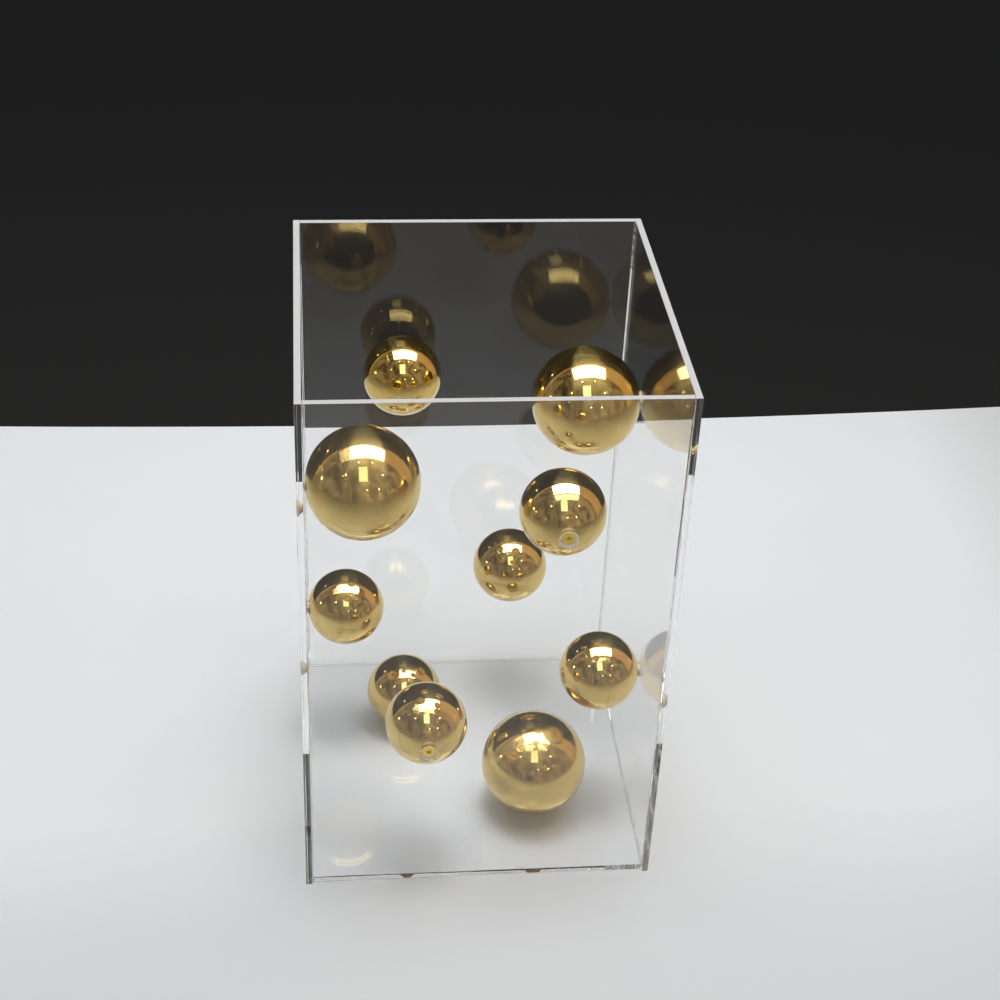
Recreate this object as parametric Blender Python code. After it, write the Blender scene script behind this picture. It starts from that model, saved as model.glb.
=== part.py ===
"""Tall open-topped acrylic display box with gold balls screwed to its walls and base.

The frame is in metres: x runs across the front, y from the front to the back, z up.
The origin is the middle of the underside, on the surface that the box stands on.
"""
import math

import bmesh
import bpy
from mathutils import Matrix, Vector

# The box. The side panels run the full depth and hold the front, back and base between them.
WIDTH = 0.260
DEPTH = 0.260
HEIGHT = 0.423
SHEET = 0.0046
EDGE_CHAMFER = 0.0003
GAP = 0.0003

# The balls are hollow shells with a round hole where their threaded boss meets the wall.
LARGE_BALL = 0.081
SMALL_BALL = 0.060
SHELL = 0.0012
BALL_HOLE = 0.0106

# The boss is a turned bush with a flange that bears on the inside of the shell.
BOSS = 0.0100
BOSS_LENGTH = 0.0120
BOSS_FLANGE = 0.0150
BOSS_FLANGE_DEPTH = 0.0030
BOSS_FLANGE_THICKNESS = 0.0015
TAPPED_HOLE = 0.0056
TAPPED_DEPTH = 0.0100

# Countersunk M5 machine screw with a cross recess. Its head lies below the panel's face.
SINK = 0.0136
CLEARANCE_HOLE = 0.0056
HEAD = 0.0102
HEAD_RIM = 0.0003
THREAD = 0.0050
SCREW_LENGTH = 0.0130
SCREW_TIP = 0.0006
HEAD_DEPTH = (SINK - HEAD) / 2 - GAP * math.sqrt(2)
CROSS_LENGTH = 0.0046
CROSS_WIDTH = 0.0012
CROSS_DEPTH = 0.0020
CROSS_TAPER = 0.60

# How finely the round pieces are divided.
BALL_SEGMENTS = 24
OUTER_RINGS = 12
INNER_RINGS = 5
HOLE_SEGMENTS = 24
BOSS_SEGMENTS = 12
SCREW_SEGMENTS = 16
CUTTER_OVERSHOOT = 0.0005
SCREW_TURN = math.radians(25)

# Each ball: its place's name, its panel, its diameter, and where its centre lies on the panel.
# On a wall the two numbers are the place along the wall and the height, on the base x and y.
BALLS = (
    ("left_upper", "left", LARGE_BALL, -0.052, 0.312),
    ("left_lower", "left", SMALL_BALL, 0.049, 0.126),
    ("right_upper", "right", LARGE_BALL, 0.048, 0.314),
    ("right_lower", "right", SMALL_BALL, -0.041, 0.128),
    ("front_upper", "front", SMALL_BALL, 0.050, 0.314),
    ("front_lower", "front", SMALL_BALL, -0.040, 0.128),
    ("back_upper", "back", SMALL_BALL, -0.050, 0.310),
    ("back_lower", "back", SMALL_BALL, 0.040, 0.129),
    ("base_front", "base", LARGE_BALL, 0.048, -0.051),
    ("base_rear", "base", SMALL_BALL, -0.048, 0.052),
)


def clear_scene():
    """Remove every object, so that the model starts from an empty scene."""
    for thing in list(bpy.data.objects):
        bpy.data.objects.remove(thing)


def principled(name, color, metallic=0.0, roughness=0.5, transmission=0.0, ior=1.5):
    """A material with one Principled BSDF."""
    material = bpy.data.materials.new(name)
    material.use_nodes = True
    shader = material.node_tree.nodes["Principled BSDF"]
    shader.inputs["Base Color"].default_value = (*color, 1.0)
    shader.inputs["Metallic"].default_value = metallic
    shader.inputs["Roughness"].default_value = roughness
    shader.inputs["Transmission Weight"].default_value = transmission
    shader.inputs["IOR"].default_value = ior
    material.diffuse_color = (*color, 1.0 - 0.6 * transmission)
    return material


def link(name, mesh, material=None, matrix=None):
    """A named object in the scene that shows the mesh at the given place."""
    thing = bpy.data.objects.new(name, mesh)
    bpy.context.scene.collection.objects.link(thing)
    if material and not mesh.materials:
        mesh.materials.append(material)
    if matrix:
        thing.matrix_world = matrix
    return thing


def as_cutter(thing):
    """Keep a cutting shape out of the finished object."""
    thing.hide_render = True
    thing.display_type = 'WIRE'
    return thing


def cut(thing, cutter):
    """Take the cutter's shape out of the object."""
    boolean = thing.modifiers.new("cut_" + cutter.name, 'BOOLEAN')
    boolean.operation = 'DIFFERENCE'
    boolean.solver = 'EXACT'
    boolean.object = cutter


def panel_axes(face):
    """The directions along a panel, up it and into the box, as the axes of a rotation."""
    inward = {
        "left": Vector((1, 0, 0)),
        "right": Vector((-1, 0, 0)),
        "front": Vector((0, 1, 0)),
        "back": Vector((0, -1, 0)),
        "base": Vector((0, 0, 1)),
    }[face]
    up = Vector((0, 1, 0)) if face == "base" else Vector((0, 0, 1))
    return up.cross(inward), up, inward


def fixing_place(face, along, second):
    """The frame of one fixing: its origin on the panel's outer face and +z into the box."""
    side, up, inward = panel_axes(face)
    if face in ("left", "right"):
        origin = -inward * WIDTH / 2 + Vector((0, along, second))
    elif face in ("front", "back"):
        origin = -inward * DEPTH / 2 + Vector((along, 0, second))
    else:
        origin = Vector((along, second, 0))
    rotation = Matrix((side, up, inward)).transposed().to_4x4()
    return Matrix.Translation(origin) @ rotation


def turned_mesh(name, profile, segments, sharp_angle=math.radians(30)):
    """Spin a profile of (radius, height) points about z. Its two ends lie on the axis."""
    shape = bmesh.new()
    points = [shape.verts.new((radius, 0, height)) for radius, height in profile]
    edges = [shape.edges.new(pair) for pair in zip(points, points[1:])]
    bmesh.ops.spin(
        shape,
        geom=points + edges,
        cent=(0, 0, 0),
        axis=(0, 0, 1),
        angle=2 * math.pi,
        steps=segments,
        use_merge=True,
    )
    bmesh.ops.remove_doubles(shape, verts=shape.verts, dist=1e-6)
    bmesh.ops.recalc_face_normals(shape, faces=shape.faces)
    mesh = bpy.data.meshes.new(name)
    shape.to_mesh(mesh)
    shape.free()
    mesh.shade_smooth()
    mesh.set_sharp_from_angle(angle=sharp_angle)
    return mesh


def arc(radius, centre, start, end, steps):
    """Points of an arc about (0, centre), by the angle from straight down."""
    angles = [start + (end - start) * step / steps for step in range(steps + 1)]
    return [(radius * math.sin(angle), centre - radius * math.cos(angle)) for angle in angles]


def ball_mesh(name, diameter):
    """A hollow ball that touches the panel's inner face, less a gap, at its holed end."""
    radius = diameter / 2
    centre = SHEET + GAP + radius
    inner_radius = radius - SHELL
    outer_start = math.asin(BALL_HOLE / 2 / radius)
    inner_start = math.asin(BALL_HOLE / 2 / inner_radius)
    outer = arc(radius, centre, outer_start, math.pi, OUTER_RINGS)
    inner = arc(inner_radius, centre, inner_start, math.pi, INNER_RINGS)
    outer[-1] = (0.0, centre + radius)
    inner[-1] = (0.0, centre + inner_radius)
    return turned_mesh(name, outer[::-1] + inner, BALL_SEGMENTS)


def boss_mesh():
    """The threaded boss: a flanged bush with a blind tapped hole that faces the panel."""
    start = SHEET + GAP
    flange = start + BOSS_FLANGE_DEPTH
    profile = [
        (0.0, start + TAPPED_DEPTH),
        (TAPPED_HOLE / 2, start + TAPPED_DEPTH),
        (TAPPED_HOLE / 2, start),
        (BOSS / 2, start),
        (BOSS / 2, flange),
        (BOSS_FLANGE / 2, flange),
        (BOSS_FLANGE / 2, flange + BOSS_FLANGE_THICKNESS),
        (BOSS / 2, flange + BOSS_FLANGE_THICKNESS),
        (BOSS / 2, start + BOSS_LENGTH),
        (0.0, start + BOSS_LENGTH),
    ]
    return turned_mesh("boss", profile, BOSS_SEGMENTS)


def screw_mesh():
    """A countersunk screw, head down in its hole, before its cross recess is cut."""
    cone_end = HEAD_DEPTH + HEAD_RIM + (HEAD - THREAD) / 2
    tip = HEAD_DEPTH + SCREW_LENGTH
    profile = [
        (0.0, HEAD_DEPTH),
        (HEAD / 2 - HEAD_RIM, HEAD_DEPTH),
        (HEAD / 2, HEAD_DEPTH + HEAD_RIM),
        (THREAD / 2, cone_end),
        (THREAD / 2, tip - SCREW_TIP),
        (THREAD / 2 - SCREW_TIP, tip),
        (0.0, tip),
    ]
    return turned_mesh("screw", profile, SCREW_SEGMENTS)


def cross_mesh():
    """The tapered cross that a screwdriver's tip fills."""
    reach = CROSS_LENGTH / 2
    half = CROSS_WIDTH / 2
    quarter = [(reach, -half), (reach, half), (half, half)]
    outline = []
    for turn in range(4):
        for x, y in quarter:
            outline.append(Matrix.Rotation(turn * math.pi / 2, 2) @ Vector((x, y)))
    shape = bmesh.new()
    top = HEAD_DEPTH - CUTTER_OVERSHOOT
    corners = [shape.verts.new((point.x, point.y, top)) for point in outline]
    mouth = shape.faces.new(corners)
    grown = bmesh.ops.extrude_face_region(shape, geom=[mouth])["geom"]
    bottom = [part for part in grown if isinstance(part, bmesh.types.BMVert)]
    bmesh.ops.scale(shape, vec=(CROSS_TAPER, CROSS_TAPER, 1), verts=bottom)
    bmesh.ops.translate(shape, vec=(0, 0, CUTTER_OVERSHOOT + CROSS_DEPTH), verts=bottom)
    bmesh.ops.recalc_face_normals(shape, faces=shape.faces)
    mesh = bpy.data.meshes.new("cross")
    shape.to_mesh(mesh)
    shape.free()
    return mesh


def fixing_hole_mesh():
    """The countersunk clearance hole for one screw, as a cutting shape."""
    sink = SINK / 2
    hole = CLEARANCE_HOLE / 2
    profile = [
        (0.0, -CUTTER_OVERSHOOT),
        (sink + CUTTER_OVERSHOOT, -CUTTER_OVERSHOOT),
        (hole, sink - hole),
        (hole, SHEET + CUTTER_OVERSHOOT),
        (0.0, SHEET + CUTTER_OVERSHOOT),
    ]
    return turned_mesh("fixing_hole", profile, HOLE_SEGMENTS)


def panel(name, low, high, material):
    """A flat sheet between two corners, with its long edges broken by a small chamfer."""
    low, high = Vector(low), Vector(high)
    shape = bmesh.new()
    bmesh.ops.create_cube(shape, size=1.0)
    bmesh.ops.scale(shape, vec=high - low, verts=shape.verts)
    bmesh.ops.translate(shape, vec=(low + high) / 2, verts=shape.verts)
    bmesh.ops.bevel(
        shape,
        geom=shape.edges[:],
        offset=EDGE_CHAMFER,
        segments=1,
        affect='EDGES',
    )
    mesh = bpy.data.meshes.new(name)
    shape.to_mesh(mesh)
    shape.free()
    return link(name, mesh, material)


def make_panels(acrylic):
    """The five sheets, by face. The front and back stand between the sides, the base in all four."""
    side = WIDTH / 2
    front = DEPTH / 2
    between = side - SHEET - GAP
    within = front - SHEET - GAP
    return {
        "left": panel("left_panel", (-side, -front, 0), (-side + SHEET, front, HEIGHT), acrylic),
        "right": panel("right_panel", (side - SHEET, -front, 0), (side, front, HEIGHT), acrylic),
        "front": panel("front_panel", (-between, -front, 0), (between, -front + SHEET, HEIGHT), acrylic),
        "back": panel("back_panel", (-between, front - SHEET, 0), (between, front, HEIGHT), acrylic),
        "base": panel("base_panel", (-between, -within, 0), (between, within, SHEET), acrylic),
    }


def make_fixings(panels, gold, zinc, steel):
    """Each ball with its boss and screw, and the hole for the screw through the panel."""
    balls = {size: ball_mesh("ball", size) for size in (LARGE_BALL, SMALL_BALL)}
    boss = boss_mesh()
    screw = screw_mesh()
    cross = cross_mesh()
    hole = fixing_hole_mesh()
    for number, (place, face, size, along, second) in enumerate(BALLS):
        matrix = fixing_place(face, along, second)
        turned = matrix @ Matrix.Rotation(number * SCREW_TURN, 4, 'Z')
        cut(panels[face], as_cutter(link("hole_cutter_" + place, hole, matrix=matrix)))
        link("ball_" + place, balls[size], gold, matrix)
        link("boss_" + place, boss, steel, matrix)
        fastener = link("screw_" + place, screw, zinc, turned)
        cut(fastener, as_cutter(link("cross_cutter_" + place, cross, matrix=turned)))


def main():
    """Build the whole box."""
    clear_scene()
    acrylic = principled("clear_acrylic", (0.97, 0.98, 0.98), roughness=0.02, transmission=1.0, ior=1.49)
    gold = principled("polished_gold", (0.80, 0.62, 0.28), metallic=1.0, roughness=0.08)
    zinc = principled("yellow_zinc", (0.78, 0.61, 0.20), metallic=1.0, roughness=0.30)
    steel = principled("plain_steel", (0.55, 0.55, 0.56), metallic=1.0, roughness=0.35)
    make_fixings(make_panels(acrylic), gold, zinc, steel)


main()
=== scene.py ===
"""Looks of the acrylic display box: clear sheets, mirror-gold balls, yellow zinc screws."""

import math

import bmesh
import bpy
from mathutils import Matrix, Vector, noise


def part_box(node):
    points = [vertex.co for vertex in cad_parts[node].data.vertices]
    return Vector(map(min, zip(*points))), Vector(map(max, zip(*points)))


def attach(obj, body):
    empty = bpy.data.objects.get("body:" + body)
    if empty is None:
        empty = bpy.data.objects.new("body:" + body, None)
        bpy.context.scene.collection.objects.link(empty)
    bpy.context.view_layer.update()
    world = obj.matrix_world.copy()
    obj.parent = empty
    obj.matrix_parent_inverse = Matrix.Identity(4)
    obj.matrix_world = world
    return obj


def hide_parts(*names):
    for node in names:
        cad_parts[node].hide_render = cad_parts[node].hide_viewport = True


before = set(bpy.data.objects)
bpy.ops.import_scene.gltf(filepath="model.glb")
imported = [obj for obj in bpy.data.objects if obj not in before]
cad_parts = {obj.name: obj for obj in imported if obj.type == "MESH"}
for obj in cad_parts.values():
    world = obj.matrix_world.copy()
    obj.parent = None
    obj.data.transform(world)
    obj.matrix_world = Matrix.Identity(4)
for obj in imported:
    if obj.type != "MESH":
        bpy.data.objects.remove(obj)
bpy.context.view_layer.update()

# Camera: its place in metres, then where it points.
CAMERA_PLACE = (-0.1178, -1.1239, 1.0313)
CAMERA_TURN = math.radians(6.896)
CAMERA_DOWN = math.radians(34.339)
CAMERA_ROLL = math.radians(2.786)
CAMERA_LENS = 66.8
SENSOR = 36.0
NEAREST, FARTHEST = 0.05, 50

# The table's far edge is near the box, and past it there is only the curtain. Its top is a hair below
# the box's underside, so that the two faces never share a plane.
TABLE_BACK = 0.5165
TABLE_BOW = 0.047
TABLE_FRONT = -2.4
TABLE_SIDE = 2.4
TABLE_THICK = 0.030
TABLE_DROP = 0.0001
EDGE_STEPS = 96

# Lamps that only light what is matt: name, place, size, power and colour. They face straight down.
LIGHTING_LAMPS = (
    ("key", (0.03, 0.05, 2.0), (0.55, 0.50), 11.8, (1.0, 0.99, 0.98)),
    ("ceiling", (0.0, 0.25, 2.1), (2.4, 1.9), 31.5, (0.80, 0.91, 1.0)),
)

# Lamps that only show as reflections. The window lies in its direction from the middle of the box.
OVERHEAD_PLACE = (0.22, 0.17, 2.0)
OVERHEAD_SIZE = (1.95, 0.90)
OVERHEAD_POWER = 41
OVERHEAD_COLOR = (0.975, 0.985, 1.0)
WINDOW_DIRECTION = (-0.045, -0.640, 0.766)
WINDOW_SIZE = (0.60, 1.05)
WINDOW_POWER = 4.5
WINDOW_COLOR = (0.97, 1.0, 0.98)

# Small lamps of the room: which way they lie from the box, their size and their power.
ROOM_LAMP_COLOR = (1.0, 0.92, 0.80)
ROOM_LAMP_DISTANCE = 2.2
ROOM_LAMPS = (
    ((-0.17, -0.29, 0.94), (0.07, 0.07), 0.25),
    ((0.24, -0.29, 0.93), (0.07, 0.07), 0.25),
    ((0.45, -0.84, 0.32), (0.10, 0.10), 0.30),
    ((0.08, -0.93, 0.36), (0.10, 0.06), 0.20),
    ((-0.72, 0.55, 0.43), (0.10, 0.10), 0.20),
    ((-0.99, 0.03, 0.15), (0.14, 0.14), 0.50),
    ((-0.56, -0.51, 0.66), (0.09, 0.09), 0.35),
    ((0.56, -0.53, 0.64), (0.09, 0.09), 0.35),
)

ACRYLIC_IOR = 1.491
GAP = 0.0003
CHAMFER = 0.0003

# Fixings. The holes, the head's width and depth, the thread's width and the length are the CAD's own.
# The rest is finer detail. The thread is made as rings, with a plain stretch before and after them.
SINK = 0.0136
CLEARANCE_HOLE = 0.0056
HEAD = 0.0102
HEAD_RIM = 0.00025
THREAD = 0.0050
SCREW_LENGTH = 0.0130
THREAD_TURNS = 10
THREAD_DEPTH = 0.0004
TIP_CHAMFER = 0.0006
RUN_OUT, LEAD_IN = 0.0002, 0.0006
HEAD_DEPTH = (SINK - HEAD) / 2 - GAP * math.sqrt(2)
BALL_HOLE = 0.0106
SHELL = 0.0012

# The cross recess, shallower than the CAD's, and the four fine marks between its arms: reach, half width,
# depth and taper.
RECESS = (0.0025, 0.00070, 0.0011, 0.45)
STAR = (0.0017, 0.00016, 0.0003, 0.9)
RECESS_REACH, RECESS_DEPTH = RECESS[0], RECESS[2]

# A face this far below the top of the head is inside the recess.
RECESS_TOP = 0.00005

# The angle that the first screw stopped at, and how much further each next one is turned, in radians.
FIRST_TURN, NEXT_TURN = 0.4, 2.4

HOLE_SEGMENTS = 64
SCREW_SEGMENTS = 48
BALL_SEGMENTS = 128
BALL_RINGS = 72
INNER_RINGS = 12

# A cutting shape starts this far outside what it cuts.
OVER = 0.0005
OVER_HEAD = 0.0004

# Edges sharper than these angles, in degrees, stay sharp.
SHEET_SHARP = 15
TURNED_SHARP = 30

# Cement: how far a fillet of it reaches from the corner, how much of that is truly joined, how much
# thicker it is in places, and how hollow its face is.
FILLET = 0.0005
FILLET_ROOT = 0.0004
FILLET_PARTS = 4
BEAD_STEP = 0.002
BEAD_SWELL, SWELL_RATE = 0.00025, 45
BEAD_BLOB, BLOB_RATE, BLOB_LEAST = 0.0007, 160, 0.15
BEAD_HOLLOW = 0.75

# How far a bead's faces stay off the sheets'.
HAIR = 0.00001

# The level of noise above which the cement of a joint shows a void.
JOINT_VOIDS = 0.68
PATCHY_VOIDS = 0.49

# The way that each large ball's highlights smear, and how strong that haze is. The small balls lean a
# little more each time, and have a fainter haze.
POLISH_AXES = {
    "left_upper": (0.0, 0.56, 0.83),
    "right_upper": (-0.05, 0.56, 0.83),
    "base_front": (0.89, 0.13, 0.35),
}
POLISH_HAZE = {"left_upper": 0.34, "right_upper": 0.34, "base_front": 0.46}
FAINT_HAZE = 0.16
FIRST_LEAN, NEXT_LEAN = -0.45, 0.1

# How far each next ball's marks are moved along, so that no two balls have the same ones.
POLISH_SHIFT = 0.37

FACES = ("left", "right", "front", "back", "base")

# The material slots of a sheet.
CLEAR, SATIN, CEMENTED, FROSTED, SMEARED = range(5)

# How much of a direction a face's normal holds when the face looks that way, when it is at least an
# eased edge of that side, when it isn't turned away, and when it is a cone of 45 degrees round it.
FACING, EASED, NOT_AWAY = 0.99, 0.3, -0.1
CONE = (0.6, 0.8)

INWARD = {
    "left": Vector((1, 0, 0)),
    "right": Vector((-1, 0, 0)),
    "front": Vector((0, 1, 0)),
    "back": Vector((0, -1, 0)),
    "base": Vector((0, 0, 1)),
}


# ---------------------------------------------------------------- node helpers


class Nodes:
    """Short ways to add and join the nodes of one material or world."""

    def __init__(self, tree):
        self.tree = tree
        tree.nodes.clear()

    def add(self, kind, **values):
        """A node of that kind. A value goes to the socket or the property with its name."""
        node = self.tree.nodes.new("ShaderNode" + kind)
        for name, value in values.items():
            socket = node.inputs.get(name.replace("_", " "))
            if socket is not None:
                self.give(socket, value)
            else:
                setattr(node, name, value)
        return node

    def give(self, socket, value):
        """Link a socket to an output, or set its value."""
        if isinstance(value, bpy.types.NodeSocket):
            self.tree.links.new(value, socket)
        else:
            socket.default_value = value

    def math(self, operation, first, second=0.0, third=None, clamp=False):
        """One arithmetic node, and its output."""
        node = self.tree.nodes.new("ShaderNodeMath")
        node.operation = operation
        node.use_clamp = clamp
        self.give(node.inputs[0], first)
        self.give(node.inputs[1], second)
        if third is not None:
            self.give(node.inputs[2], third)
        return node.outputs[0]

    def ramp(self, value, *stops):
        """A colour ramp through (place, colour) stops, and its colour output."""
        node = self.tree.nodes.new("ShaderNodeValToRGB")
        points = node.color_ramp.elements
        while len(points) < len(stops):
            points.new(0.5)
        for point, (place, color) in zip(points, stops):
            point.position = place
            point.color = (*color, 1.0) if len(color) == 3 else color
        self.give(node.inputs[0], value)
        return node.outputs[0]

    def grey(self, value, *stops):
        """A ramp of plain values."""
        return self.ramp(value, *[(place, (level, level, level)) for place, level in stops])

    def mix(self, factor, first, second, blend='MIX'):
        """A colour mix, and its output."""
        node = self.tree.nodes.new("ShaderNodeMix")
        node.data_type = 'RGBA'
        node.blend_type = blend
        self.give(node.inputs[0], factor)
        self.give(node.inputs[6], first)
        self.give(node.inputs[7], second)
        return node.outputs[2]

    def split(self, vector=None):
        """The x, y and z of a vector, or of the object coordinates."""
        if vector is None:
            vector = self.add("TexCoord").outputs["Object"]
        node = self.add("SeparateXYZ")
        self.give(node.inputs[0], vector)
        return node.outputs

    def place(self, vector=None, scale=(1, 1, 1), rotation=(0, 0, 0)):
        """Object coordinates, or another vector, scaled and turned."""
        if vector is None:
            vector = self.add("TexCoord").outputs["Object"]
        node = self.add("Mapping")
        self.give(node.inputs["Vector"], vector)
        node.inputs["Scale"].default_value = scale
        node.inputs["Rotation"].default_value = rotation
        return node.outputs[0]

    def noise(self, scale, detail=3.0, rough=0.5, vector=None, distortion=0.0):
        """A noise texture, and its value output."""
        node = self.add("TexNoise", Scale=scale, Detail=detail, Roughness=rough, Distortion=distortion)
        if vector is not None:
            self.give(node.inputs["Vector"], vector)
        return node.outputs["Fac"]

    def bump(self, height, strength, distance, normal=None):
        """A bump node, and its normal."""
        node = self.add("Bump", Strength=strength, Distance=distance, Height=height)
        if normal is not None:
            self.give(node.inputs["Normal"], normal)
        return node.outputs[0]

    def blend(self, factor, first, second):
        """A mix of two shaders."""
        node = self.tree.nodes.new("ShaderNodeMixShader")
        self.give(node.inputs[0], factor)
        self.give(node.inputs[1], first)
        self.give(node.inputs[2], second)
        return node.outputs[0]

    def surface(self, shader):
        """Send a shader to the output."""
        output = self.tree.nodes.new("ShaderNodeOutputMaterial")
        self.tree.links.new(shader, output.inputs["Surface"])


def material(name):
    """A new material and its empty node tree."""
    made = bpy.data.materials.new(name)
    made.use_nodes = True
    return made, Nodes(made.node_tree)


def principled(nodes, color, roughness, **values):
    """A Principled shader with its values set on its own sockets."""
    node = nodes.tree.nodes.new("ShaderNodeBsdfPrincipled")
    nodes.give(node.inputs["Base Color"], color)
    nodes.give(node.inputs["Roughness"], roughness)
    for name, value in values.items():
        nodes.give(node.inputs[name.replace("_", " ")], value)
    return node.outputs[0]


def let_light_through(nodes, shader, most):
    """Clear to shadow and diffuse rays, so that lamps light what is inside, a little less at a slant."""
    path = nodes.add("LightPath")
    open_way = nodes.math('MAXIMUM', path.outputs["Is Shadow Ray"], path.outputs["Is Diffuse Ray"])
    slant = nodes.add("LayerWeight", Blend=0.5).outputs["Facing"]
    passed = nodes.grey(nodes.math('POWER', slant, 5.0), (0.0, most), (1.0, 0.75 * most))
    clear = nodes.add("BsdfTransparent", Color=passed)
    return nodes.blend(open_way, shader, clear.outputs[0])


# ---------------------------------------------------------------- materials


def clear_glass(nodes, normal, rough):
    """The bare polished acrylic, as one shader."""
    return principled(
        nodes, (0.997, 0.999, 0.998, 1.0), rough,
        Transmission_Weight=1.0, IOR=ACRYLIC_IOR, Normal=normal,
    )


def clear_acrylic():
    """Polished cast sheet: flat and clear, with a trace of dust, smudges and hairline scratches."""
    made, n = material("clear_acrylic")
    dust = n.noise(900, 2.0, 0.6)
    smudge = n.noise(9, 4.0, 0.6, distortion=0.6)
    hair = n.noise(1.0, 2.0, 0.5, n.place(scale=(35, 35, 900), rotation=(0.5, 0.3, 0.9)))
    rough = n.math('MULTIPLY_ADD', n.grey(smudge, (0.60, 0.0), (0.80, 1.0)), 0.004, 0.0)
    lines = n.bump(n.grey(hair, (0.74, 0.0), (0.78, 1.0)), 0.01, 0.00005)
    glass = clear_glass(n, lines, rough)
    specks = principled(n, (0.80, 0.80, 0.80, 1.0), 0.8)
    amount = n.grey(dust, (0.79, 0.0), (0.83, 0.15))
    n.surface(let_light_through(n, n.blend(amount, glass, specks), 0.998))
    return made


def cemented_joint(name, least):
    """Faces joined by cement, so nothing shows, but for the pale voids where the cement missed."""
    made, n = material(name)
    clouds = n.noise(70, 5.0, 0.65)
    patches = n.noise(11, 2.0, 0.5)
    spread = n.math('MULTIPLY', clouds, n.grey(patches, (0.45, 0.80), (0.70, 1.2)))
    void = n.grey(spread, (least, 0.0), (least + 0.04, 1.0))
    joined = n.add("BsdfTransparent", Color=(0.99, 0.99, 0.99, 1.0)).outputs[0]
    tone = n.ramp(clouds, (0.40, (0.94, 0.90, 0.80)), (0.62, (0.97, 0.96, 0.93)))
    froth = principled(
        n, tone, n.math('MULTIPLY_ADD', clouds, 0.3, 0.25),
        IOR=ACRYLIC_IOR, Normal=n.bump(clouds, 0.5, 0.0005),
    )
    through = n.add("BsdfTranslucent", Color=tone).outputs[0]
    n.surface(let_light_through(n, n.blend(void, joined, n.blend(0.5, froth, through)), 1.0))
    return made


def satin_edge():
    """A sawn and scraped edge: white, a little see-through, with fine marks across it."""
    made, n = material("satin_acrylic_edge")
    marks = n.noise(1.0, 3.0, 0.7, n.place(scale=(1400, 1400, 220)))
    blotch = n.noise(60, 3.0, 0.6)
    rough = n.math('MULTIPLY_ADD', blotch, 0.20, 0.42)
    tone = n.ramp(blotch, (0.35, (0.57, 0.55, 0.545)), (0.65, (0.67, 0.65, 0.645)))
    shader = principled(
        n, tone, rough,
        Transmission_Weight=0.20, IOR=ACRYLIC_IOR, Normal=n.bump(marks, 0.35, 0.0001),
    )
    n.surface(let_light_through(n, shader, 0.8))
    return made


def smeared_edge():
    """The front end of the right sheet: clear, with white smears of cement low down."""
    made, n = material("smeared_acrylic_edge")
    height = n.split()[2]
    lower = n.grey(height, (0.095, 1.0), (0.105, 0.0))
    smears = n.noise(170, 3.0, 0.6, distortion=1.5)
    amount = n.math('MULTIPLY', lower, n.grey(smears, (0.48, 0.0), (0.54, 0.90)))
    tone = n.ramp(smears, (0.50, (0.80, 0.79, 0.77)), (0.65, (0.95, 0.95, 0.95)))
    skin = n.bump(smears, 0.4, 0.0002)
    matt = principled(n, tone, n.math('MULTIPLY_ADD', smears, 0.3, 0.3), Normal=skin)
    through = n.add("BsdfTranslucent", Color=tone).outputs[0]
    glass = clear_glass(n, n.bump(smears, 0.02, 0.0001), n.math('MULTIPLY', smears, 0.02))
    n.surface(let_light_through(n, n.blend(amount, glass, n.blend(0.4, matt, through)), 0.95))
    return made


def frosted_sink():
    """The drilled cone of a countersink: frosted white, lit from both sides."""
    made, n = material("frosted_acrylic_sink")
    rings = n.noise(1.0, 2.0, 0.6, n.place(scale=(1800, 1800, 1800)))
    tone = n.ramp(rings, (0.35, (0.95, 0.925, 0.91)), (0.65, (0.99, 0.975, 0.965)))
    marks = n.bump(rings, 0.3, 0.00006)
    matt = principled(n, tone, n.math('MULTIPLY_ADD', rings, 0.3, 0.3), Normal=marks)
    through = n.add("BsdfTranslucent", Color=tone).outputs[0]
    glass = clear_glass(n, marks, n.math('MULTIPLY_ADD', rings, 0.2, 0.18))
    white = n.blend(0.55, matt, through)
    n.surface(let_light_through(n, n.blend(0.95, glass, white), 0.92))
    return made


def cement_bead(name, least, most):
    """Set cement: a clear fillet with a milky skin that is thicker in places."""
    made, n = material(name)
    clouds = n.noise(120, 4.0, 0.6)
    clear = n.add("BsdfTransparent", Color=(0.98, 0.98, 0.98, 1.0)).outputs[0]
    tone = n.ramp(clouds, (0.35, (0.90, 0.89, 0.88)), (0.65, (0.97, 0.96, 0.95)))
    skin = n.bump(clouds, 0.2, 0.0002)
    milky = principled(n, tone, n.math('MULTIPLY_ADD', clouds, 0.3, 0.3), Normal=skin)
    through = n.add("BsdfTranslucent", Color=tone).outputs[0]
    white = n.blend(0.5, milky, through)
    amount = n.grey(clouds, (0.40, least), (0.65, most))
    n.surface(let_light_through(n, n.blend(amount, clear, white), 0.98))
    return made


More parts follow.
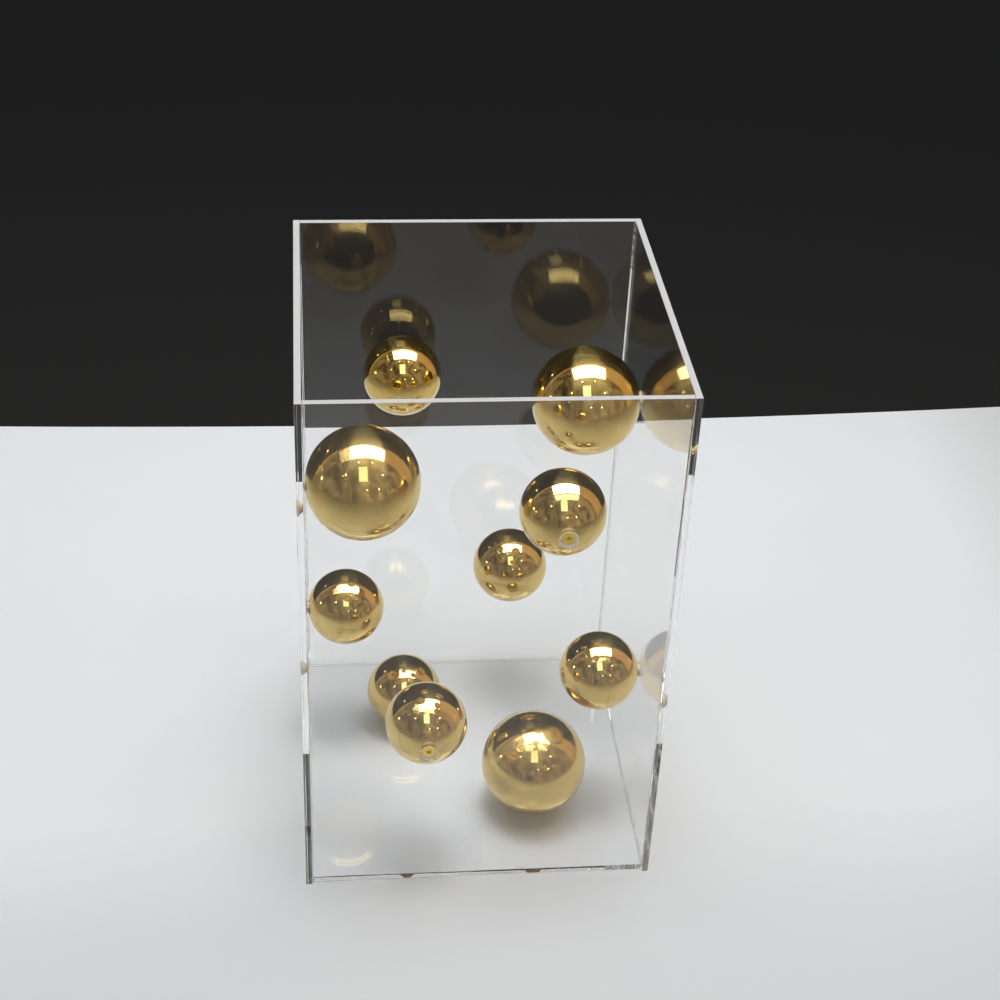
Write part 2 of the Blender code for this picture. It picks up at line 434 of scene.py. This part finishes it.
def polished_gold():
    """Mirror gold with the haze of its polishing, a little tarnish and faint dents."""
    made, n = material("polished_gold")
    grain = n.add("Attribute", attribute_name="polish").outputs["Vector"]
    axis = n.add("Attribute", attribute_name="polish_axis").outputs["Vector"]
    broad = n.noise(1.0, 3.0, 0.6, n.place(grain, scale=(25, 25, 700)))
    tarnish = n.noise(55, 5.0, 0.65, grain)
    pits = n.noise(420, 2.0, 0.5, grain)
    tone = n.ramp(
        tarnish,
        (0.30, (0.66, 0.475, 0.150)),
        (0.52, (0.72, 0.525, 0.180)),
        (0.75, (0.77, 0.575, 0.220)),
    )
    dents = n.bump(n.noise(30, 2.0, 0.5, grain), 0.03, 0.001)
    lines = n.bump(broad, 0.03, 0.00010, dents)
    pitted = n.bump(n.grey(pits, (0.72, 0.0), (0.78, 1.0)), 0.03, 0.00004, lines)
    mirror = principled(n, tone, n.math('MULTIPLY_ADD', tarnish, 0.06, 0.0), Metallic=1.0, Normal=pitted)
    haze = principled(
        n, tone, n.math('MULTIPLY_ADD', tarnish, 0.10, 0.24), Metallic=1.0,
        Anisotropic=0.95, Tangent=axis,
    )
    haze_and_painted_falloff = n.add("Attribute", attribute_name="polish_haze").outputs["Fac"]
    amount = n.math('MULTIPLY', haze_and_painted_falloff, n.grey(n.noise(12, 3.0, 0.6, grain), (0.3, 0.6), (0.7, 1.0)))
    n.surface(n.blend(amount, mirror, haze))
    return made


def yellow_zinc():
    """Yellow passivated zinc: finely grained, and a little uneven in colour."""
    made, n = material("yellow_zinc")
    cast = n.noise(260, 3.0, 0.6)
    tone = n.ramp(
        cast,
        (0.30, (0.93, 0.68, 0.15)),
        (0.50, (0.96, 0.76, 0.22)),
        (0.70, (0.96, 0.70, 0.26)),
    )
    turned = n.noise(2600, 2.0, 0.6)
    rough = n.math('MULTIPLY_ADD', cast, 0.20, 0.32)
    n.surface(principled(n, tone, rough, Metallic=1.0, Normal=n.bump(turned, 0.12, 0.00003)))
    return made


def recess_zinc_painted_shade():
    """The same plating in the recess, duller, with a darker tone that is painted shade in the recess."""
    made, n = material("yellow_zinc_recess")
    cast = n.noise(900, 3.0, 0.6)
    # Painted shade: this tone is darker than the head's own plating.
    tone = n.ramp(cast, (0.35, (0.84, 0.60, 0.10)), (0.65, (0.95, 0.70, 0.15)))
    rough = n.math('MULTIPLY_ADD', cast, 0.2, 0.45)
    n.surface(principled(n, tone, rough, Metallic=0.6, Normal=n.bump(cast, 0.2, 0.00004)))
    return made


def turned_steel():
    """Plain steel with fine tool marks, for the bosses inside the balls."""
    made, n = material("turned_steel")
    rings = n.noise(1.0, 2.0, 0.6, n.place(scale=(300, 300, 4000)))
    tone = n.ramp(rings, (0.3, (0.50, 0.50, 0.51)), (0.7, (0.62, 0.62, 0.63)))
    rough = n.math('MULTIPLY_ADD', rings, 0.2, 0.25)
    n.surface(principled(n, tone, rough, Metallic=1.0, Normal=n.bump(rings, 0.2, 0.00004)))
    return made


def table_top():
    """Pale matt laminate, faintly mottled, with painted light: a painted falloff darkens it towards the
    front, painted shade darkens it far to the front and sides, and a painted pool of cool light makes it
    paler under the box.
    """
    made, n = material("pale_table")
    cloud = n.noise(3.0, 4.0, 0.6)
    grain = n.noise(700, 2.0, 0.6)
    tone = n.ramp(cloud, (0.35, (0.86, 0.868, 0.877)), (0.65, (0.89, 0.898, 0.907)))
    right, back, _ = n.split()
    beside, depth = n.math('ABSOLUTE', right), n.math('ADD', back, 0.5)
    # Painted falloff of the lamps' light: the tone grows darker towards the front.
    haze_and_painted_falloff = n.ramp(
        depth,
        (0.15, (0.76, 0.76, 0.765)),
        (0.33, (0.83, 0.83, 0.835)),
        (0.44, (0.95, 0.95, 0.95)),
        (0.70, (0.96, 0.96, 0.96)),
        (0.95, (1.0, 1.0, 1.0)),
    )
    tone = n.mix(1.0, tone, haze_and_painted_falloff, 'MULTIPLY')
    # Painted pool of cool light under the box, fading out towards the box's front.
    under = n.grey(n.math('MAXIMUM', beside, n.math('ABSOLUTE', back)), (0.126, 1.0), (0.134, 0.0))
    painted_pool = n.math('MULTIPLY', under, n.grey(depth, (0.50, 1.0), (0.60, 0.0)))
    tone = n.mix(painted_pool, tone, n.mix(1.0, tone, (1.11, 1.13, 1.155, 1.0), 'MULTIPLY'))
    # Painted shade: the table is darker far to the front and to the sides.
    sideways = n.grey(beside, (0.50, 0.0), (0.9, 1.0))
    nearer = n.grey(n.math('MULTIPLY', back, -1.0), (0.30, 0.0), (0.58, 1.0))
    tone = n.mix(n.math('MAXIMUM', sideways, nearer), tone, (0.45, 0.435, 0.41, 1.0))
    rough = n.math('MULTIPLY_ADD', grain, 0.10, 0.40)
    speckle = n.bump(grain, 0.05, 0.00005)
    n.surface(principled(n, tone, rough, Specular_IOR_Level=0.3, Normal=speckle))
    return made


# ---------------------------------------------------------------- mesh helpers


def finish_mesh(shape, name, smooth_angle=None):
    """Turn a bmesh into a mesh, smooth where its faces meet at less than the angle."""
    mesh = bpy.data.meshes.new(name)
    shape.to_mesh(mesh)
    shape.free()
    if smooth_angle is not None:
        mesh.shade_smooth()
        mesh.set_sharp_from_angle(angle=math.radians(smooth_angle))
    return mesh


def show(name, mesh, materials=(), matrix=None):
    """Put a mesh into the scene as an object."""
    thing = bpy.data.objects.new(name, mesh)
    bpy.context.scene.collection.objects.link(thing)
    for each in materials:
        if each.name not in mesh.materials:
            mesh.materials.append(each)
    if matrix is not None:
        thing.matrix_world = matrix
    return thing


def turned_mesh(name, profile, segments, smooth_angle=TURNED_SHARP):
    """Spin (radius, height) points about z. The profile's two ends lie on the axis."""
    shape = bmesh.new()
    points = [shape.verts.new((radius, 0, height)) for radius, height in profile]
    edges = [shape.edges.new(pair) for pair in zip(points, points[1:])]
    bmesh.ops.spin(
        shape, geom=points + edges, cent=(0, 0, 0), axis=(0, 0, 1),
        angle=2 * math.pi, steps=segments, use_merge=True,
    )
    bmesh.ops.remove_doubles(shape, verts=shape.verts, dist=1e-6)
    bmesh.ops.recalc_face_normals(shape, faces=shape.faces)
    return finish_mesh(shape, name, smooth_angle)


def cut(thing, cutters):
    """Take the cutters out of the object and keep only the result."""
    for cutter in cutters:
        boolean = thing.modifiers.new("cut", 'BOOLEAN')
        boolean.operation = 'DIFFERENCE'
        boolean.solver = 'EXACT'
        boolean.object = cutter
    bpy.context.view_layer.update()
    graph = bpy.context.evaluated_depsgraph_get()
    result = bpy.data.meshes.new_from_object(thing.evaluated_get(graph), depsgraph=graph)
    thing.modifiers.clear()
    thing.data = result
    for cutter in cutters:
        bpy.data.objects.remove(cutter)
    return result


# ---------------------------------------------------------------- the frame's sizes


PANEL = {face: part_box(face + "_panel") for face in FACES}
SHEET = PANEL["base"][1].z
HEIGHT = PANEL["left"][1].z


def inner_face(face):
    """The distance of a panel's inner face from the origin, along its inward direction."""
    low, high = PANEL[face]
    return max(low.dot(INWARD[face]), high.dot(INWARD[face]))


def fixing(place):
    """One ball's place: its frame on the panel's outer face, +z into the box, and its radius."""
    face = place.split("_")[0]
    inward = INWARD[face]
    up = Vector((0, 1, 0)) if face == "base" else Vector((0, 0, 1))
    low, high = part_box("ball_" + place)
    middle = (low + high) / 2
    far = max(low.dot(inward), high.dot(inward))
    radius = (far - inner_face(face) - GAP) / 2
    along = middle - inward * middle.dot(inward)
    origin = along + inward * (inner_face(face) - SHEET)
    rotation = Matrix((up.cross(inward), up, inward)).transposed().to_4x4()
    return face, Matrix.Translation(origin) @ rotation, radius


PLACES = sorted(name[len("ball_"):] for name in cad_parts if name.startswith("ball_"))
FIXINGS = {place: fixing(place) for place in PLACES}


# ---------------------------------------------------------------- the object


def hole_mesh():
    """A countersunk clearance hole, as a cutting shape."""
    sink, hole = SINK / 2, CLEARANCE_HOLE / 2
    profile = [
        (0.0, -OVER),
        (sink + OVER, -OVER),
        (hole, sink - hole),
        (hole, SHEET + OVER),
        (0.0, SHEET + OVER),
    ]
    return turned_mesh("hole", profile, HOLE_SEGMENTS)


def joint_strips(face):
    """Slabs, as (axis, low, high) along x, y or z, that hold the cemented part of a panel's skin."""
    low, high = PANEL[face]
    wide = SHEET + GAP + FILLET_ROOT
    foot = [(2, low.z, low.z + wide)]
    if face in ("left", "right"):
        return both_ends(face, 1, wide) + foot
    if face in ("front", "back"):
        return both_ends(face, 0, FILLET_ROOT) + foot
    return both_ends(face, 0, FILLET_ROOT) + both_ends(face, 1, FILLET_ROOT)


def both_ends(face, axis, wide):
    """The two slabs at a panel's ends along an axis."""
    low, high = PANEL[face]
    return [(axis, low[axis], low[axis] + wide), (axis, high[axis] - wide, high[axis])]


def is_cemented(face, polygon):
    """True for a face of a panel that cement joins to its neighbour, or an eased edge that it fills."""
    normal, centre = polygon.normal, polygon.center
    if face == "base" and max(abs(normal.x), abs(normal.y)) > EASED and normal.z > NOT_AWAY:
        return not near_fixing(centre, places_on(face))
    if face in ("front", "back") and abs(normal.x) > EASED and normal.dot(INWARD[face]) > NOT_AWAY:
        return abs(centre.x) > PANEL[face][1].x - FILLET_ROOT
    if normal.dot(INWARD[face]) < FACING:
        return False
    return any(first < centre[axis] < last for axis, first, last in joint_strips(face))


def places_on(face):
    """The places whose screws pass through a panel."""
    return [place for place in PLACES if FIXINGS[place][0] == face]


def sheet_slot(face, polygon):
    """Which material slot a face of a sheet takes."""
    normal, centre = polygon.normal, polygon.center
    if is_cemented(face, polygon):
        return CEMENTED
    if face == "right" and normal.y < -FACING:
        return SMEARED
    if normal.z > 0.1 and centre.z > HEIGHT - 2 * CHAMFER:
        return SATIN
    foot = normal.z < -FACING and face in ("front", "back")
    cone = CONE[0] < abs(normal.dot(INWARD[face])) < CONE[1]
    sink = cone and near_fixing(centre, places_on(face))
    return FROSTED if foot or sink else CLEAR


def sheet_blank(face):
    """A panel's block with eased edges, split where its cemented parts end."""
    low, high = PANEL[face]
    shape = bmesh.new()
    bmesh.ops.create_cube(shape, size=1.0)
    bmesh.ops.scale(shape, vec=high - low, verts=shape.verts)
    bmesh.ops.translate(shape, vec=(low + high) / 2, verts=shape.verts)
    bmesh.ops.bevel(shape, geom=shape.edges[:], offset=CHAMFER, segments=2, profile=0.5, affect='EDGES')
    for axis, first, last in joint_strips(face):
        for place in (first, last):
            if low[axis] + CHAMFER < place < high[axis] - CHAMFER:
                point, normal = Vector(), Vector()
                point[axis], normal[axis] = place, 1
                whole = shape.verts[:] + shape.edges[:] + shape.faces[:]
                bmesh.ops.bisect_plane(shape, geom=whole, plane_co=point, plane_no=normal, dist=1e-7)
    return finish_mesh(shape, "sheet_" + face)


def make_panel(face, materials):
    """One sheet, drilled for its screws, with a material to each slot."""
    thing = show("sheet_" + face, sheet_blank(face))
    hole = hole_mesh()
    mesh = cut(thing, [show("cutter", hole, matrix=FIXINGS[place][1]) for place in places_on(face)])
    for each in materials:
        mesh.materials.append(each)
    for polygon in mesh.polygons:
        polygon.material_index = sheet_slot(face, polygon)
    mesh.shade_smooth()
    mesh.set_sharp_from_angle(angle=math.radians(SHEET_SHARP))
    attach(thing, "root")
    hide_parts(face + "_panel")


def near_fixing(point, places):
    """True for a point within a countersink's radius of a fixing's axis."""
    for place in places:
        local = FIXINGS[place][1].inverted() @ point
        if math.hypot(local.x, local.y) < SINK / 2 + GAP:
            return True
    return False


def bead_outline(size):
    """A bead's section: a web that fills the gap between two sheets, under a hollow fillet."""
    low, high = HAIR, GAP - HAIR
    outline = [(low, CHAMFER), (high, CHAMFER), (high, SHEET + HAIR)]
    outline += [(GAP + FILLET_ROOT, SHEET + HAIR), (size + GAP, SHEET + HAIR)]
    for part in range(1, FILLET_PARTS):
        turn = math.pi / 2 * part / FILLET_PARTS
        across = size * (1 - BEAD_HOLLOW * math.sin(turn))
        upward = size * (1 - BEAD_HOLLOW * math.cos(turn))
        outline.append((GAP + across, SHEET + HAIR + upward))
    return outline + [(low, SHEET + HAIR + size), (low, SHEET + FILLET_ROOT)]


def bead_mesh(name, length, mirrored):
    """Cement in a joint, along z: u (x) points away from the through panel, v (y) into the box."""
    steps = max(2, round(length / BEAD_STEP))
    shape = bmesh.new()
    rings = []
    for step in range(steps + 1):
        along = length * step / steps
        swell = noise.noise(Vector((along * SWELL_RATE, length * 7, len(name))))
        blob = noise.noise(Vector((along * BLOB_RATE, 3.1, length * 11 + len(name))))
        size = FILLET + BEAD_SWELL * swell + BEAD_BLOB * max(0.0, blob - BLOB_LEAST)
        rings.append([shape.verts.new((u, v, along)) for u, v in bead_outline(size)])
    count = len(rings[0])
    for first, second in zip(rings, rings[1:]):
        for k in range(count):
            after = (k + 1) % count
            shape.faces.new((first[k], first[after], second[after], second[k]))
    shape.faces.new(rings[0])
    shape.faces.new(rings[-1])
    bmesh.ops.recalc_face_normals(shape, faces=shape.faces)
    shape.faces.ensure_lookup_table()
    touching = {1, 2, count - 1}
    for index in range(steps * count):
        if index % count in touching:
            shape.faces[index].material_index = 1
        else:
            shape.faces[index].smooth = True
    shape.faces[steps * count].material_index = 2
    shape.faces[steps * count + 1].material_index = 2
    if mirrored:
        bmesh.ops.scale(shape, vec=(-1, 1, 1), verts=shape.verts)
        bmesh.ops.reverse_faces(shape, faces=shape.faces)
    return finish_mesh(shape, name)


def bead_frame(origin, away, inward, along):
    """A matrix whose x points away from the through panel, y into the box and z along the joint."""
    rotation = Matrix((away, inward, along)).transposed().to_4x4()
    return Matrix.Translation(origin) @ rotation


def make_beads(upright, level, cemented, satin):
    """Squeezed-out cement in the four upright corners and round the base."""
    low, high = PANEL["left"][0], PANEL["right"][1]
    inner = {-1: PANEL["left"][1].x, 1: PANEL["right"][0].x}
    floor = PANEL["base"][1].z
    jobs = []
    for side in (-1, 1):
        for depth, edge in ((-1, low.y), (1, high.y)):
            origin = Vector((inner[side], edge, floor + FILLET_ROOT))
            axes = Vector((-side, 0, 0)), Vector((0, -depth, 0))
            jobs.append((origin, *axes, HEIGHT - floor - FILLET_ROOT))
        origin = Vector((inner[side], PANEL["base"][0].y, 0))
        jobs.append((origin, Vector((-side, 0, 0)), Vector((0, 0, 1)), PANEL["base"][1].y * 2))
    for depth, face in ((-1, "front"), (1, "back")):
        origin = Vector((PANEL["base"][0].x, inner_face(face) * -depth, 0))
        jobs.append((origin, Vector((0, -depth, 0)), Vector((0, 0, 1)), PANEL["base"][1].x * 2))
    for number, (origin, away, inward, length) in enumerate(jobs):
        along = away.cross(inward)
        positive = Vector([abs(part) for part in along])
        mirrored = along.dot(positive) < 0
        name = f"cement_bead_{number + 1}"
        mesh = bead_mesh(name, length, mirrored)
        matrix = bead_frame(origin, -away if mirrored else away, inward, positive)
        skin = level if inward.z > 0.5 else upright
        bead = show(name, mesh, [skin, cemented, satin], matrix)
        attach(bead, "root")


def ball_mesh(name, radius, turn):
    """A hollow ball. Its polish attribute is a turned frame that the marks follow."""
    centre = SHEET + GAP + radius
    start = math.asin(BALL_HOLE / 2 / radius)
    inner = radius - SHELL
    inner_start = math.asin(BALL_HOLE / 2 / inner)

    def arc(size, first, steps):
        angles = [first + (math.pi - first) * step / steps for step in range(steps + 1)]
        points = [(size * math.sin(a), centre - size * math.cos(a)) for a in angles]
        points[-1] = (0.0, centre + size)
        return points

    profile = arc(radius, start, BALL_RINGS)[::-1] + arc(inner, inner_start, INNER_RINGS)
    mesh = turned_mesh(name, profile, BALL_SEGMENTS)
    polish = mesh.attributes.new("polish", 'FLOAT_VECTOR', 'POINT')
    for vertex, value in zip(mesh.vertices, polish.data):
        value.vector = turn @ (vertex.co - Vector((0, 0, centre)))
    return mesh


def make_ball(number, place, gold):
    """One gold ball, with polishing marks that run round its own axis."""
    face, matrix, radius = FIXINGS[place]
    lean = FIRST_LEAN + NEXT_LEAN * number
    axis = Vector(POLISH_AXES.get(place, (lean, 0.5, 0.8))).normalized()
    upright = axis.rotation_difference(Vector((0, 0, 1))).to_matrix()
    shift = Vector((POLISH_SHIFT * number, 0, 0))
    mesh = ball_mesh("gold_ball_" + place, radius, upright @ matrix.to_3x3())
    for value in mesh.attributes["polish"].data:
        value.vector = value.vector + shift
    axes = mesh.attributes.new("polish_axis", 'FLOAT_VECTOR', 'POINT')
    axes.data.foreach_set("vector", list(axis) * len(mesh.vertices))
    haze = mesh.attributes.new("polish_haze", 'FLOAT', 'POINT')
    haze.data.foreach_set("value", [POLISH_HAZE.get(place, FAINT_HAZE)] * len(mesh.vertices))
    thing = show("gold_ball_" + place, mesh, [gold], matrix)
    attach(thing, "root")
    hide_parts("ball_" + place)


def screw_mesh():
    """A countersunk screw with a cross recess and its four small star marks."""
    cone_end = HEAD_DEPTH + HEAD_RIM + (HEAD - THREAD) / 2
    tip = HEAD_DEPTH + SCREW_LENGTH
    profile = [
        (0.0, HEAD_DEPTH),
        (HEAD / 2 - HEAD_RIM, HEAD_DEPTH),
        (HEAD / 2, HEAD_DEPTH + HEAD_RIM),
        (THREAD / 2, cone_end),
    ]
    pitch = (tip - cone_end - RUN_OUT - LEAD_IN) / THREAD_TURNS
    for turn in range(THREAD_TURNS):
        start = cone_end + RUN_OUT + turn * pitch
        profile.append((THREAD / 2, start + 0.1 * pitch))
        profile.append((THREAD / 2 - THREAD_DEPTH, start + 0.5 * pitch))
        profile.append((THREAD / 2, start + 0.9 * pitch))
    profile += [(THREAD / 2 - TIP_CHAMFER, tip), (0.0, tip)]
    thing = show("screw_blank", turned_mesh("screw", profile, SCREW_SEGMENTS))
    cutters = [
        show("cutter", cross_mesh(*RECESS, 0.0)),
        show("cutter", cross_mesh(*STAR, math.pi / 4)),
    ]
    made = cut(thing, cutters)
    bpy.data.objects.remove(thing)
    made.shade_smooth()
    made.set_sharp_from_angle(angle=math.radians(TURNED_SHARP))
    return made


def cross_mesh(reach, half, depth, taper, turn):
    """A tapered cross, as a cutting shape in the screw's head."""
    outline = []
    for quarter in range(4):
        for x, y in ((reach, -half), (reach, half), (half, half)):
            outline.append(Matrix.Rotation(quarter * math.pi / 2 + turn, 2) @ Vector((x, y)))
    shape = bmesh.new()
    top = HEAD_DEPTH - OVER_HEAD
    mouth = shape.faces.new([shape.verts.new((p.x, p.y, top)) for p in outline])
    grown = bmesh.ops.extrude_face_region(shape, geom=[mouth])["geom"]
    bottom = [part for part in grown if isinstance(part, bmesh.types.BMVert)]
    bmesh.ops.scale(shape, vec=(taper, taper, 1), verts=bottom)
    bmesh.ops.translate(shape, vec=(0, 0, OVER_HEAD + depth), verts=bottom)
    bmesh.ops.recalc_face_normals(shape, faces=shape.faces)
    return finish_mesh(shape, "cross")


def make_screws(zinc, recess):
    """Ten screws, each stopped at its own angle."""
    mesh = screw_mesh()
    mesh.materials.clear()
    for each in (zinc, recess):
        mesh.materials.append(each)
    for polygon in mesh.polygons:
        depth = polygon.center.z - HEAD_DEPTH
        inside = math.hypot(polygon.center.x, polygon.center.y) < RECESS_REACH + GAP
        polygon.material_index = 1 if inside and RECESS_TOP < depth < RECESS_DEPTH + GAP else 0
    for number, place in enumerate(PLACES):
        matrix = FIXINGS[place][1]
        turn = Matrix.Rotation(FIRST_TURN + NEXT_TURN * number, 4, 'Z')
        thing = show("zinc_screw_" + place, mesh, matrix=matrix @ turn)
        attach(thing, "root")
        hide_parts("screw_" + place)


def dress_bosses(steel):
    """The bosses keep their CAD shape and get a better finish."""
    for place in PLACES:
        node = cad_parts["boss_" + place]
        node.data.materials.clear()
        node.data.materials.append(steel)


def make_object():
    """Everything that belongs to the box."""
    clear, satin, frosted = clear_acrylic(), satin_edge(), frosted_sink()
    cemented = cemented_joint("cemented_joint", JOINT_VOIDS)
    patchy = cemented_joint("patchy_joint", PATCHY_VOIDS)
    gold, zinc, steel = polished_gold(), yellow_zinc(), turned_steel()
    smeared = smeared_edge()
    for face in FACES:
        joint = patchy if face == "right" else cemented
        make_panel(face, (clear, satin, joint, frosted, smeared))
    upright = cement_bead("cement_bead", 0.02, 0.20)
    level = cement_bead("milky_cement_bead", 0.50, 0.95)
    make_beads(upright, level, cemented, satin)
    for number, place in enumerate(PLACES):
        make_ball(number, place, gold)
    make_screws(zinc, recess_zinc_painted_shade())
    dress_bosses(steel)


# ---------------------------------------------------------------- the studio


def make_table():
    """The pale table that the box stands on. Its far edge is very slightly bowed."""
    shape = bmesh.new()
    rim = []
    for step in range(EDGE_STEPS + 1):
        x = TABLE_SIDE * (2 * step / EDGE_STEPS - 1)
        rim.append((x, TABLE_BACK + TABLE_BOW * x ** 2))
    rim += [(TABLE_SIDE, TABLE_FRONT), (-TABLE_SIDE, TABLE_FRONT)]
    top = shape.faces.new([shape.verts.new((x, y, -TABLE_DROP)) for x, y in reversed(rim)])
    grown = bmesh.ops.extrude_face_region(shape, geom=[top])["geom"]
    lower = [part for part in grown if isinstance(part, bmesh.types.BMVert)]
    bmesh.ops.translate(shape, vec=(0, 0, -TABLE_THICK), verts=lower)
    bmesh.ops.recalc_face_normals(shape, faces=shape.faces)
    show("table", finish_mesh(shape, "table", TURNED_SHARP), [table_top()])


def make_light(name, place, aim, size, power, color, mirrored=True, lighting=True):
    """A soft rectangular lamp. It shows in what is polished, lights what is matt, or both."""
    data = bpy.data.lights.new(name, 'AREA')
    data.shape = 'RECTANGLE'
    data.size, data.size_y = size
    data.energy = power
    data.color = color
    lamp = bpy.data.objects.new(name, data)
    bpy.context.scene.collection.objects.link(lamp)
    lamp.location = place
    lamp.rotation_euler = (Vector(aim) - Vector(place)).to_track_quat('-Z', 'Y').to_euler()
    lamp.visible_camera = False
    lamp.visible_glossy = mirrored
    lamp.visible_transmission = mirrored
    lamp.visible_diffuse = lighting


def straight_down(place):
    """The point on the table under a place."""
    return place[0], place[1], 0


def make_lights():
    """The overhead strip and the window that the balls mirror, what lights the table, and room lamps."""
    heart = Vector((0, 0, HEIGHT / 2))
    place, aim = OVERHEAD_PLACE, straight_down(OVERHEAD_PLACE)
    make_light("overhead", place, aim, OVERHEAD_SIZE, OVERHEAD_POWER, OVERHEAD_COLOR, lighting=False)
    place = heart + Vector(WINDOW_DIRECTION) * ROOM_LAMP_DISTANCE
    aim = (place.x, 0, HEIGHT / 2)
    make_light("window", place, aim, WINDOW_SIZE, WINDOW_POWER, WINDOW_COLOR, lighting=False)
    for name, place, size, power, color in LIGHTING_LAMPS:
        make_light(name, place, straight_down(place), size, power, color, mirrored=False)
    for number, (direction, size, power) in enumerate(ROOM_LAMPS):
        place = heart + Vector(direction) * ROOM_LAMP_DISTANCE
        make_light(f"room_lamp_{number + 1}", place, heart, size, power, ROOM_LAMP_COLOR)


def room_color(n, direction, right, back, up):
    """The room in front of the table: dim warm clutter, sparks low down and a warm patch at the right."""
    clutter = n.noise(4.5, 4.0, 0.6, n.place(direction, scale=(1, 1, 0.45)), 0.5)
    walls = n.ramp(
        clutter,
        (0.38, (0.040, 0.032, 0.026)),
        (0.47, (0.140, 0.118, 0.100)),
        (0.53, (0.200, 0.178, 0.155)),
        (0.62, (0.310, 0.290, 0.260)),
    )
    lit = n.grey(n.math('MULTIPLY_ADD', right, 0.5, 0.5), (0.42, 0.0), (0.66, 1.0))
    walls = n.mix(lit, walls, n.mix(1.0, walls, (1.6, 1.5, 1.35, 1.0), 'MULTIPLY'))
    low = n.grey(up, (0.02, 1.0), (0.35, 0.0))
    sparks = n.grey(n.noise(30.0, 2.0, 0.5, direction), (0.62, 0.0), (0.76, 0.9))
    walls = n.mix(n.math('MULTIPLY', low, sparks), walls, (0.90, 0.74, 0.52, 1.0))
    beyond = n.grey(n.math('ADD', back, 0.5), (0.41, 0.0), (0.44, 1.0))
    to_right = n.math('MULTIPLY', n.grey(right, (0.30, 0.0), (0.36, 1.0)), beyond)
    return n.mix(to_right, walls, (0.66, 0.45, 0.27, 1.0))


def make_world():
    """A dark curtain with a pale border behind the table, and a dim warm room in front of it."""
    world = bpy.data.worlds.new("studio")
    world.use_nodes = True
    n = Nodes(world.node_tree)
    direction = n.add("TexCoord").outputs["Generated"]
    right, back, up = n.split(direction)
    room = room_color(n, direction, right, back, up)
    backward = n.math('MULTIPLY_ADD', back, 0.5, 0.5)
    room = n.mix(n.grey(backward, (0.660, 0.0), (0.675, 1.0)), room, (0.60, 0.47, 0.34, 1.0))
    curtain = n.ramp(
        n.math('MULTIPLY_ADD', up, 0.5, 0.5),
        (0.22, (0.0215, 0.0205, 0.0200)),
        (0.31, (0.0125, 0.0125, 0.0125)),
        (0.60, (0.0100, 0.0100, 0.0100)),
    )
    behind = n.grey(backward, (0.692, 0.0), (0.700, 1.0))
    background = n.add("Background", Color=n.mix(behind, room, curtain), Strength=1.0)
    output = world.node_tree.nodes.new("ShaderNodeOutputWorld")
    world.node_tree.links.new(background.outputs[0], output.inputs["Surface"])
    bpy.context.scene.world = world


def make_camera():
    """The camera at the photograph's viewing angle."""
    forward = Vector((
        math.sin(CAMERA_TURN) * math.cos(CAMERA_DOWN),
        math.cos(CAMERA_TURN) * math.cos(CAMERA_DOWN),
        -math.sin(CAMERA_DOWN),
    ))
    right = forward.cross(Vector((0, 0, 1))).normalized()
    up = right.cross(forward)
    across = math.cos(CAMERA_ROLL) * right + math.sin(CAMERA_ROLL) * up
    upward = math.cos(CAMERA_ROLL) * up - math.sin(CAMERA_ROLL) * right
    data = bpy.data.cameras.new("camera")
    data.lens = CAMERA_LENS
    data.sensor_width = SENSOR
    data.clip_start, data.clip_end = NEAREST, FARTHEST
    camera = bpy.data.objects.new("camera", data)
    bpy.context.scene.collection.objects.link(camera)
    rotation = Matrix((across, upward, -forward)).transposed().to_4x4()
    camera.matrix_world = Matrix.Translation(CAMERA_PLACE) @ rotation
    bpy.context.scene.camera = camera


def set_light_paths():
    """Enough bounces for light that crosses many faces of clear sheet, and colours shown as they are."""
    scene = bpy.context.scene
    scene.cycles.max_bounces = 64
    scene.cycles.transmission_bounces = 48
    scene.cycles.transparent_max_bounces = 64
    scene.cycles.glossy_bounces = 48
    scene.cycles.diffuse_bounces = 3
    scene.view_settings.view_transform = 'Standard'


make_object()
make_table()
make_lights()
make_world()
make_camera()
set_light_paths()
